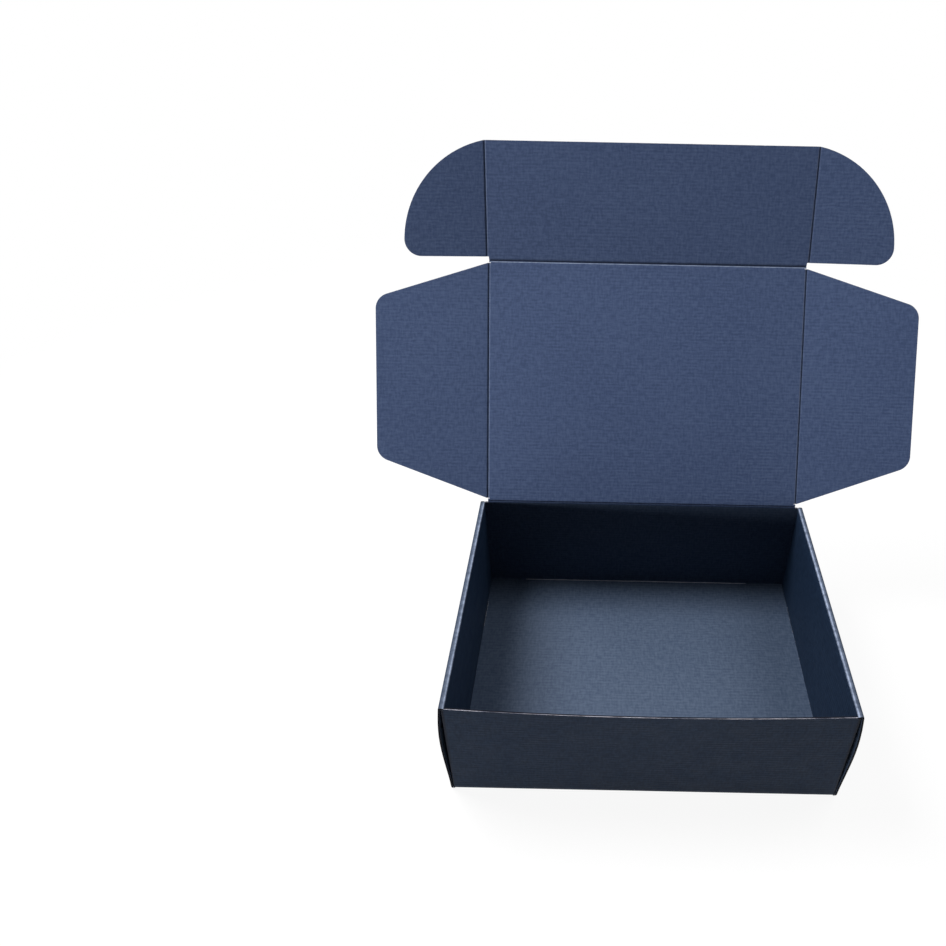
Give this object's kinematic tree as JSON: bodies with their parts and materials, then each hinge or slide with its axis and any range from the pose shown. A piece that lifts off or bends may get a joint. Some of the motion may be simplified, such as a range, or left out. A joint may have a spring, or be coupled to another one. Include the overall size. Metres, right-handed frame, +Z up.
{
  "type": "folding mailing box",
  "caption": "Folded board mailing box with double side walls, a hinged lid with side flaps, and a tuck flap with rounded ears.",
  "frame": {"origin": "middle of the underside of the floor", "axes": "+X to the right along the front wall, +Y from the front wall to the hinged back wall, +Z up"},
  "size_m": [0.517, 0.3872, 0.4164],
  "materials": {
    "navy_board_outside": "matt laminated print",
    "navy_board_inside": "matt laminated print"
  },
  "bodies": {
    "tray": {"tray": "navy_board_outside"},
    "lid": {"lid": "navy_board_inside"},
    "left_lid_flap": {"left_lid_flap": "navy_board_inside"},
    "right_lid_flap": {"right_lid_flap": "navy_board_inside"},
    "tuck_flap": {"tuck_flap": "navy_board_inside"},
    "left_ear": {"left_ear": "navy_board_inside"},
    "right_ear": {"right_ear": "navy_board_inside"}
  },
  "joints": [
    {"name": "lid_crease", "type": "hinge", "parent": "tray", "child": "lid", "pos_m": [0, 0.11775, 0.11105], "axis": [1, 0, 0], "range_deg": [-60, 120]},
    {"name": "left_lid_flap_crease", "type": "hinge", "parent": "lid", "child": "left_lid_flap", "pos_m": [-0.15245, 0.11775, 0.11105], "axis": [0, 0.5, 0.866], "range_deg": [-6, 84]},
    {"name": "right_lid_flap_crease", "type": "hinge", "parent": "lid", "child": "right_lid_flap", "pos_m": [0.15245, 0.11775, 0.11105], "axis": [0, -0.5, -0.866], "range_deg": [-6, 84]},
    {"name": "tuck_flap_crease", "type": "hinge", "parent": "lid", "child": "tuck_flap", "pos_m": [0, 0.2346, 0.31344], "axis": [1, 0, 0], "range_deg": [-12, 78]},
    {"name": "left_ear_crease", "type": "hinge", "parent": "tuck_flap", "child": "left_ear", "pos_m": [-0.15425, 0.2346, 0.31344], "axis": [0, 0.309, 0.9511], "range_deg": [-8, 82]},
    {"name": "right_ear_crease", "type": "hinge", "parent": "tuck_flap", "child": "right_ear", "pos_m": [0.15425, 0.2346, 0.31344], "axis": [0, -0.309, -0.9511], "range_deg": [-8, 82]}
  ]
}
